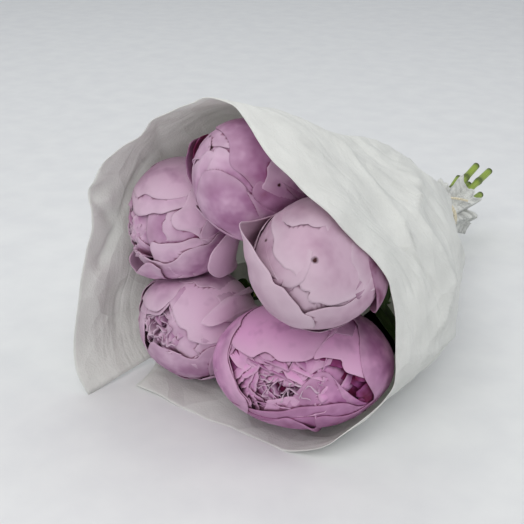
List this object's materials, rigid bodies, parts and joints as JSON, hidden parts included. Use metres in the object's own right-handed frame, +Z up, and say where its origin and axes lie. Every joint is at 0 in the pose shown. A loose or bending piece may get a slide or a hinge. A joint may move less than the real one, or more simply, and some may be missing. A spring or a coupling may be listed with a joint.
{
  "type": "bunch of peonies in paper",
  "caption": "Bunch of pink peony blooms with layered petals, stems and leaves, rolled in a white paper cone tied at the neck with twine and lying on its side.",
  "frame": {"origin": "on the table, under the middle of the bunch's bounding box", "axes": "+Y along the bunch from the mouth of the paper to the cut stem ends, +Z up from the table, +X to the right of a viewer who faces the mouth"},
  "size_m": [0.2225, 0.4684, 0.2172],
  "materials": {
    "paper": "thin white wrapping paper, matt, slightly see-through",
    "twine": "cream twisted cotton twine",
    "petals_deep": "satin mauve-magenta petals with deep crimson roots",
    "petals_pale": "satin pale grey-pink petals with paler torn edges",
    "petals": "satin mauve-pink petals, streaked, with paler edges",
    "stem": "smooth green stems and leaves, darker at the cut ends"
  },
  "bodies": {
    "root": {"paper_wrap": "paper", "twine_tie": "twine", "bloom_front": "petals_deep", "bloom_right": "petals_pale", "bloom_top": "petals", "bloom_left": "petals", "bloom_low": "petals", "stem_front": "stem", "stem_right": "stem", "stem_top": "stem", "stem_left": "stem", "stem_low": "stem"}
  },
  "joints": []
}
